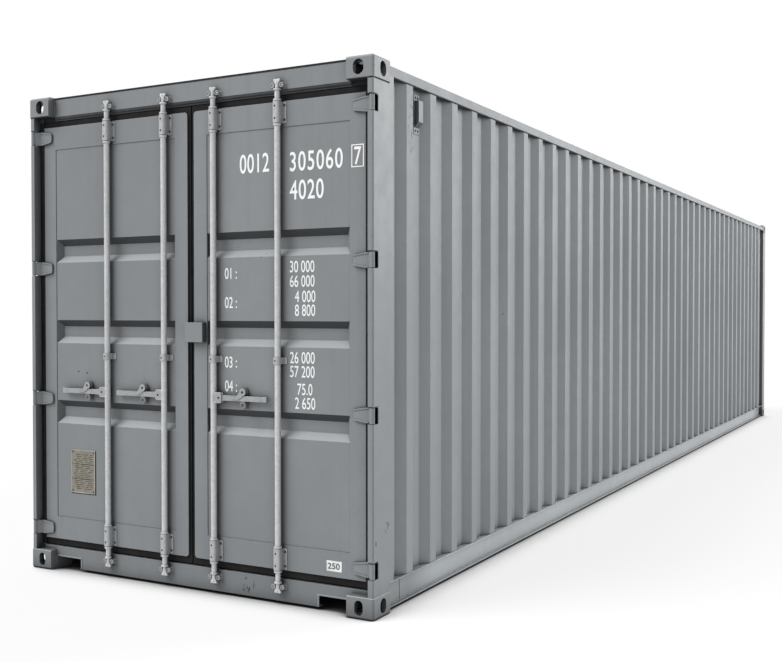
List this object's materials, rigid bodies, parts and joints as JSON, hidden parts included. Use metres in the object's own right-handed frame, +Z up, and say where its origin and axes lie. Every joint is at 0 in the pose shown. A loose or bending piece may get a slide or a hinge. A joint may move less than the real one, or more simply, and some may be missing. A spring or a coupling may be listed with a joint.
{
  "type": "shipping container",
  "caption": "Steel freight container, 40 ft high cube, with corrugated walls, corner castings, hinged double doors, locking bars and lifting handles.",
  "frame": {"origin": "centre of the footprint, on the plane of the castings' undersides", "axes": "+Z up, doors towards -Y, the length along Y"},
  "size_m": [2.438, 12.192, 2.896],
  "materials": {
    "frame_paint": "weathered grey paint",
    "door_paint": "weathered grey paint",
    "hinge_paint": "grey paint over forged steel",
    "galvanised_steel": "dull zinc coating",
    "gasket_rubber": "matt black",
    "plywood": "worn plywood",
    "underbody_paint": "black protective coating",
    "vent_plastic": "painted grey"
  },
  "bodies": {
    "container": {"bottom_side_rail_left": "frame_paint", "bottom_side_rail_right": "frame_paint", "cam_keepers": "galvanised_steel", "corner_castings_bottom": "frame_paint", "corner_castings_top": "frame_paint", "crossmembers": "underbody_paint", "door_header": "frame_paint", "door_sill": "frame_paint", "floor": "plywood", "front_bottom_rail": "frame_paint", "front_post_left": "frame_paint", "front_post_right": "frame_paint", "front_top_rail": "frame_paint", "front_wall": "frame_paint", "gooseneck_tunnel": "underbody_paint", "hinge_pins": "galvanised_steel", "left_wall": "frame_paint", "rear_post_left": "frame_paint", "rear_post_right": "frame_paint", "right_wall": "frame_paint", "roof": "frame_paint", "top_side_rail_left": "frame_paint", "top_side_rail_right": "frame_paint", "vents": "vent_plastic"},
    "left_door": {"left_door_bar_brackets": "galvanised_steel", "left_door_catches": "galvanised_steel", "left_door_gasket": "gasket_rubber", "left_door_hinges": "hinge_paint", "left_door_panel": "door_paint", "left_door_rails": "door_paint", "left_door_stiles": "door_paint"},
    "right_door": {"lock_box": "door_paint", "right_door_bar_brackets": "galvanised_steel", "right_door_catches": "galvanised_steel", "right_door_gasket": "gasket_rubber", "right_door_hinges": "hinge_paint", "right_door_panel": "door_paint", "right_door_rails": "door_paint", "right_door_stiles": "door_paint"},
    "handle_1": {"handle_1": "galvanised_steel"},
    "handle_2": {"handle_2": "galvanised_steel"},
    "handle_3": {"handle_3": "galvanised_steel"},
    "lock_bar_1": {"lock_bar_1": "galvanised_steel"},
    "lock_bar_2": {"lock_bar_2": "galvanised_steel"},
    "lock_bar_3": {"lock_bar_3": "galvanised_steel"},
    "lock_bar_4": {"lock_bar_4": "galvanised_steel"}
  },
  "joints": [
    {"name": "left_door_hinge", "type": "hinge", "parent": "container", "child": "left_door", "pos_m": [-1.202, -6.079, 1.448], "axis": [0, 0, -1], "range_deg": [0, 267]},
    {"name": "right_door_hinge", "type": "hinge", "parent": "container", "child": "right_door", "pos_m": [1.202, -6.079, 1.448], "axis": [0, 0, 1], "range_deg": [0, 267]},
    {"name": "lock_bar_1_turn", "type": "hinge", "parent": "left_door", "child": "lock_bar_1", "pos_m": [-0.611, -6.068, 1.448], "axis": [0, 0, -1], "range_deg": [-110, 0]},
    {"name": "lock_bar_2_turn", "type": "hinge", "parent": "left_door", "child": "lock_bar_2", "pos_m": [-0.178, -6.068, 1.448], "axis": [0, 0, -1], "range_deg": [-110, 0]},
    {"name": "lock_bar_3_turn", "type": "hinge", "parent": "right_door", "child": "lock_bar_3", "pos_m": [0.178, -6.068, 1.448], "axis": [0, 0, 1], "range_deg": [-110, 0]},
    {"name": "lock_bar_4_turn", "type": "hinge", "parent": "right_door", "child": "lock_bar_4", "pos_m": [0.611, -6.068, 1.448], "axis": [0, 0, 1], "range_deg": [-110, 0]},
    {"name": "handle_1_lift", "type": "hinge", "parent": "lock_bar_1", "child": "handle_1", "pos_m": [-0.651, -6.068, 1.108], "axis": [0, -1, 0], "range_deg": [-35, 0]},
    {"name": "handle_2_lift", "type": "hinge", "parent": "lock_bar_2", "child": "handle_2", "pos_m": [-0.218, -6.068, 1.108], "axis": [0, -1, 0], "range_deg": [-35, 0]},
    {"name": "handle_3_lift", "type": "hinge", "parent": "lock_bar_3", "child": "handle_3", "pos_m": [0.218, -6.068, 1.108], "axis": [0, 1, 0], "range_deg": [-35, 0]}
  ]
}
